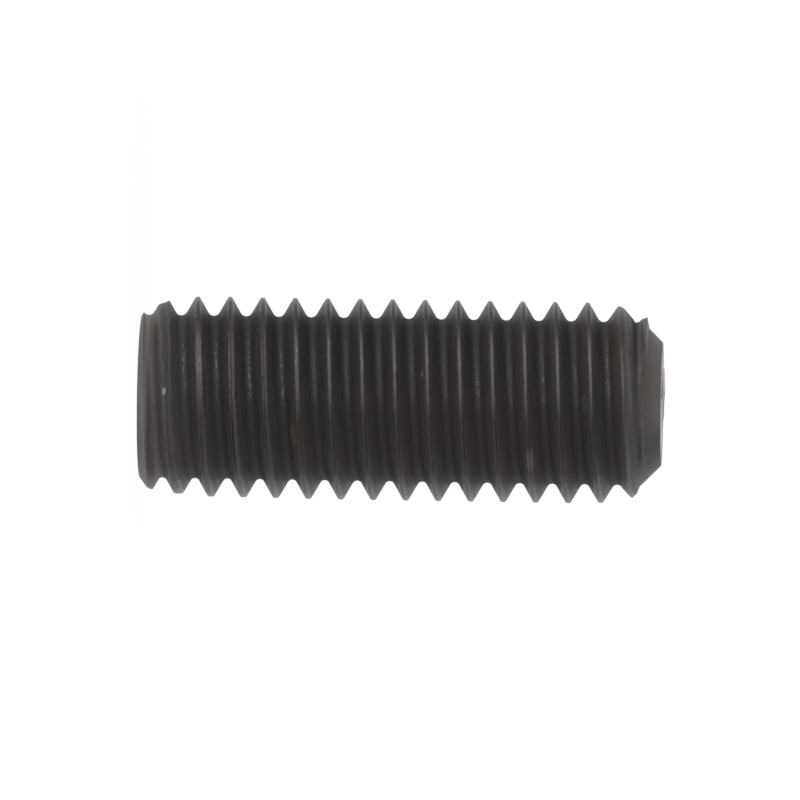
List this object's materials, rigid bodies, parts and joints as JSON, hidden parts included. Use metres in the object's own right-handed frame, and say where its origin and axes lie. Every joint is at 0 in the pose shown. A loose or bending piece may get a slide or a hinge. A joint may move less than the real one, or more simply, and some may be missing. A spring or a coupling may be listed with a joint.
{
  "type": "grub set screw",
  "caption": "Headless threaded set screw with a hexagon socket at one end and a coned cup point at the other, in black oxide steel.",
  "frame": {"origin": "centre of the flat face at the socket end, which the screw stands on", "axes": "+Z along the screw's axis from the socket end to the cup point; a crest of the thread crosses the +X side 0.26 mm above the origin and one pitch further each time"},
  "size_m": [0.0078, 0.0078, 0.0201],
  "materials": {
    "black_steel": "black oxide, satin, worn to grey at edges"
  },
  "bodies": {
    "root": {"set_screw": "black_steel"}
  },
  "joints": []
}
